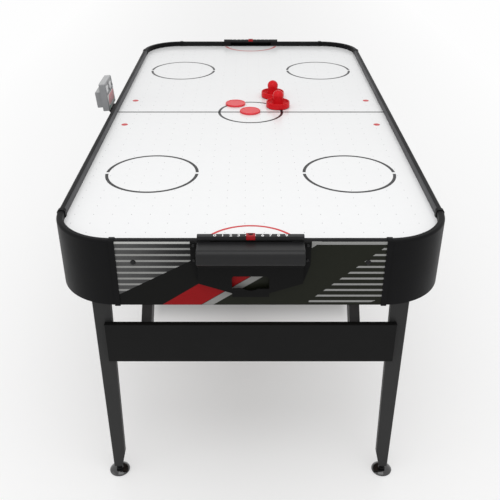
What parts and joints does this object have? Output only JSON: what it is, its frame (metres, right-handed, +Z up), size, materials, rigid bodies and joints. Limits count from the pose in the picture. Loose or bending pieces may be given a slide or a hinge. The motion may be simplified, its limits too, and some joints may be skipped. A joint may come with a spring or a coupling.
{
  "type": "air hockey table",
  "caption": "Six-foot air hockey table with rounded moulded corners, goal boxes with score bars, a side scorer, an underslung blower, braced legs, pucks and pushers.",
  "frame": {"origin": "centre of the bounding box, on the floor", "axes": "+X across the table to the right, away from the scorer; +Y along the table to the far end; +Z up"},
  "size_m": [0.984, 1.928, 0.8305],
  "materials": {
    "playfield_laminate": "satin white laminate with printed lines and air holes",
    "hardboard": "brown hardboard",
    "board": "raw medium-density fibreboard",
    "apron_print": "printed film on board: black with grey stripes and a red slash",
    "rail_black": "satin black foil",
    "moulding_black": "satin black moulding",
    "slider_red": "glossy red",
    "leg_charcoal": "charcoal foil on board",
    "foot_black": "glossy black",
    "fan_plastic": "fine-grained black",
    "motor_steel": "zinc plated",
    "screw_black": "black oxide",
    "scorer_grey": "fine-grained grey",
    "scorer_lens": "smoked lens",
    "button_dark": "dark grey",
    "puck_red": "light red",
    "pusher_red": "glossy red",
    "felt": "black felt"
  },
  "bodies": {
    "table": {"playfield": "playfield_laminate", "chamber_panel": "hardboard", "chamber_spacers": "board", "end_beam_front": "board", "end_beam_rear": "board", "cross_beam_front": "board", "cross_beam_rear": "board", "side_apron_left": "apron_print", "side_apron_right": "apron_print", "end_apron_front": "apron_print", "end_apron_rear": "apron_print", "side_rail_left": "rail_black", "side_rail_right": "rail_black", "end_rails_front": "rail_black", "end_rails_rear": "rail_black", "corner_front_left": "moulding_black", "corner_front_right": "moulding_black", "corner_rear_left": "moulding_black", "corner_rear_right": "moulding_black", "goal_box_front": "moulding_black", "goal_box_rear": "moulding_black", "score_bar_front": "moulding_black", "score_bar_rear": "moulding_black", "leg_front_left": "leg_charcoal", "leg_front_right": "leg_charcoal", "leg_rear_left": "leg_charcoal", "leg_rear_right": "leg_charcoal", "leg_board_front": "leg_charcoal", "leg_board_rear": "leg_charcoal", "leg_braces_front": "leg_charcoal", "leg_braces_rear": "leg_charcoal", "blower_housing": "fan_plastic", "blower_grille": "fan_plastic", "switch_box": "fan_plastic", "power_inlet": "fan_plastic", "blower_motor": "motor_steel", "blower_screws": "screw_black", "apron_bolts": "screw_black", "wood_screws": "screw_black", "leg_bolts": "screw_black", "scorer_front_shell": "scorer_grey", "scorer_back_shell": "scorer_grey", "scorer_bracket": "scorer_grey", "scorer_windows": "scorer_lens"},
    "score_slider_front": {"score_slider_front": "slider_red"},
    "score_slider_rear": {"score_slider_rear": "slider_red"},
    "leveler_front_left": {"leveler_front_left": "foot_black"},
    "leveler_front_right": {"leveler_front_right": "foot_black"},
    "leveler_rear_left": {"leveler_rear_left": "foot_black"},
    "leveler_rear_right": {"leveler_rear_right": "foot_black"},
    "impeller": {"blower_impeller": "fan_plastic"},
    "blower_switch": {"blower_switch": "fan_plastic"},
    "scorer_button_near": {"scorer_button_near": "button_dark"},
    "scorer_button_far": {"scorer_button_far": "button_dark"},
    "puck_far": {"puck_far": "puck_red"},
    "puck_near": {"puck_near": "puck_red"},
    "pusher_front": {"pusher_front": "pusher_red", "pusher_pad_front": "felt"},
    "pusher_rear": {"pusher_rear": "pusher_red", "pusher_pad_rear": "felt"}
  },
  "joints": [
    {"name": "score_front", "type": "slide", "parent": "table", "child": "score_slider_front", "axis": [1, 0, 0], "range_m": [-0.0792, 0.0792]},
    {"name": "score_rear", "type": "slide", "parent": "table", "child": "score_slider_rear", "axis": [1, 0, 0], "range_m": [-0.0792, 0.0792]},
    {"name": "level_front_left", "type": "slide", "parent": "table", "child": "leveler_front_left", "axis": [0, 0, -1], "range_m": [-0.008, 0.015]},
    {"name": "level_front_right", "type": "slide", "parent": "table", "child": "leveler_front_right", "axis": [0, 0, -1], "range_m": [-0.008, 0.015]},
    {"name": "level_rear_left", "type": "slide", "parent": "table", "child": "leveler_rear_left", "axis": [0, 0, -1], "range_m": [-0.008, 0.015]},
    {"name": "level_rear_right", "type": "slide", "parent": "table", "child": "leveler_rear_right", "axis": [0, 0, -1], "range_m": [-0.008, 0.015]},
    {"name": "impeller_spin", "type": "hinge", "parent": "table", "child": "impeller", "pos_m": [0.03, 0, 0.657], "axis": [0, 0, 1], "continuous": true},
    {"name": "blower_rocker", "type": "hinge", "parent": "table", "child": "blower_switch", "pos_m": [0.205, 0, 0.645], "axis": [0, -1, 0], "range_deg": [0, 18]},
    {"name": "button_near_press", "type": "slide", "parent": "table", "child": "scorer_button_near", "axis": [-0.9962, 0, -0.0872], "range_m": [0, 0.002], "stiffness_N_per_m": 500, "springref_m": -0.001},
    {"name": "button_far_press", "type": "slide", "parent": "table", "child": "scorer_button_far", "axis": [-0.9962, 0, -0.0872], "range_m": [0, 0.002], "stiffness_N_per_m": 500, "springref_m": -0.001},
    {"name": "puck_far_glide", "type": "slide", "parent": "table", "child": "puck_far", "axis": [0, 1, 0], "range_m": [0, 0.78]},
    {"name": "puck_near_glide", "type": "slide", "parent": "table", "child": "puck_near", "axis": [0, -1, 0], "range_m": [0, 0.86]},
    {"name": "pusher_front_glide", "type": "slide", "parent": "table", "child": "pusher_front", "axis": [0, -1, 0], "range_m": [0, 0.9]},
    {"name": "pusher_rear_glide", "type": "slide", "parent": "table", "child": "pusher_rear", "axis": [0, 1, 0], "range_m": [0, 0.68]}
  ]
}
